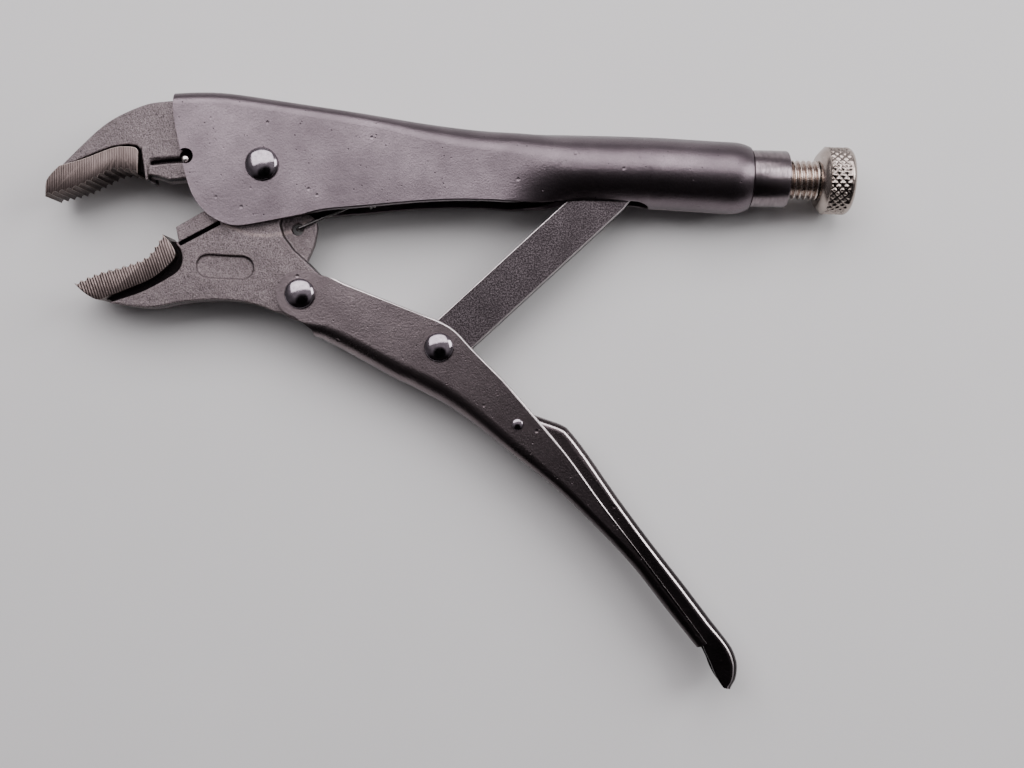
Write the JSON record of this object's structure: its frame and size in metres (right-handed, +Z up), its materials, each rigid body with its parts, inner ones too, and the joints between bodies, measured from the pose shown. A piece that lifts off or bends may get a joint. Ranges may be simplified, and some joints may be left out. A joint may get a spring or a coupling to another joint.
{
  "type": "locking pliers",
  "caption": "Curved-jaw locking pliers lying open: folded steel handles, forged toothed jaws with wire cutter, toggle link, release lever and a knurled adjusting screw.",
  "frame": {"origin": "middle of the base of the box round the open tool, on the surface it lies on", "axes": "+X along the adjusting screw towards its knob, +Y from the lower jaw to the upper jaw, +Z up out of the side of the tool"},
  "size_m": [0.2448, 0.1768, 0.0218],
  "materials": {
    "satin_steel": "satin black-nickel plated sheet steel",
    "dark_steel": "dark satin plated steel",
    "forged_steel": "blasted forging with ground biting faces",
    "dark_chrome": "polished black nickel",
    "nickel": "bright nickel",
    "spring_steel": "bright drawn wire"
  },
  "bodies": {
    "upper_side": {"upper_handle": "satin_steel", "fixed_jaw": "forged_steel", "jaw_stop_pin": "nickel", "thread_bush": "dark_steel", "main_rivet": "dark_chrome", "spring_anchor": "dark_steel", "return_spring": "spring_steel"},
    "lower_jaw": {"movable_jaw": "forged_steel", "jaw_rivet": "dark_chrome"},
    "lower_grip": {"lower_handle": "satin_steel", "toggle_rivet": "dark_chrome", "lever_pin": "dark_chrome"},
    "toggle": {"toggle_link": "dark_steel"},
    "lever": {"release_lever": "dark_steel"},
    "screw": {"adjusting_screw": "nickel"},
    "knob": {"adjusting_knob": "nickel"}
  },
  "joints": [
    {"name": "jaw_hinge", "type": "hinge", "parent": "upper_side", "child": "lower_jaw", "pos_m": [-0.05674, 0.06655, 0.0109], "axis": [0, 0, -1], "range_deg": [0, 23.5], "stiffness_Nm_per_rad": 0.4, "springref_deg": -20.05, "deforming": ["return_spring"]},
    {"name": "handle_hinge", "type": "hinge", "parent": "lower_jaw", "child": "lower_grip", "pos_m": [-0.04424, 0.02785, 0.0109], "axis": [0, 0, 1], "range_deg": [0, 52.8]},
    {"name": "toggle_hinge", "type": "hinge", "parent": "lower_grip", "child": "toggle", "pos_m": [-0.00194, 0.0129, 0.0109], "axis": [0, 0, -1], "range_deg": [0, 47.8]},
    {"name": "lever_hinge", "type": "hinge", "parent": "lower_grip", "child": "lever", "pos_m": [0.02236, -0.00965, 0.0109], "axis": [0, 0, 1], "range_deg": [0, 5]},
    {"name": "screw_slide", "type": "slide", "parent": "upper_side", "child": "screw", "axis": [1, 0, 0], "range_m": [0, 0.014]},
    {"name": "knob_turn", "type": "hinge", "parent": "screw", "child": "knob", "pos_m": [0.11726, 0.0677, 0.0109], "axis": [1, 0, 0], "range_deg": [0, 2880.5]}
  ],
  "couplings": [
    {"joint": "handle_hinge", "follows": "jaw_hinge", "ratio": 2.2439},
    {"joint": "toggle_hinge", "follows": "jaw_hinge", "ratio": 2.0316},
    {"joint": "knob_turn", "follows": "screw_slide", "rad_per_m": 3590.4}
  ]
}
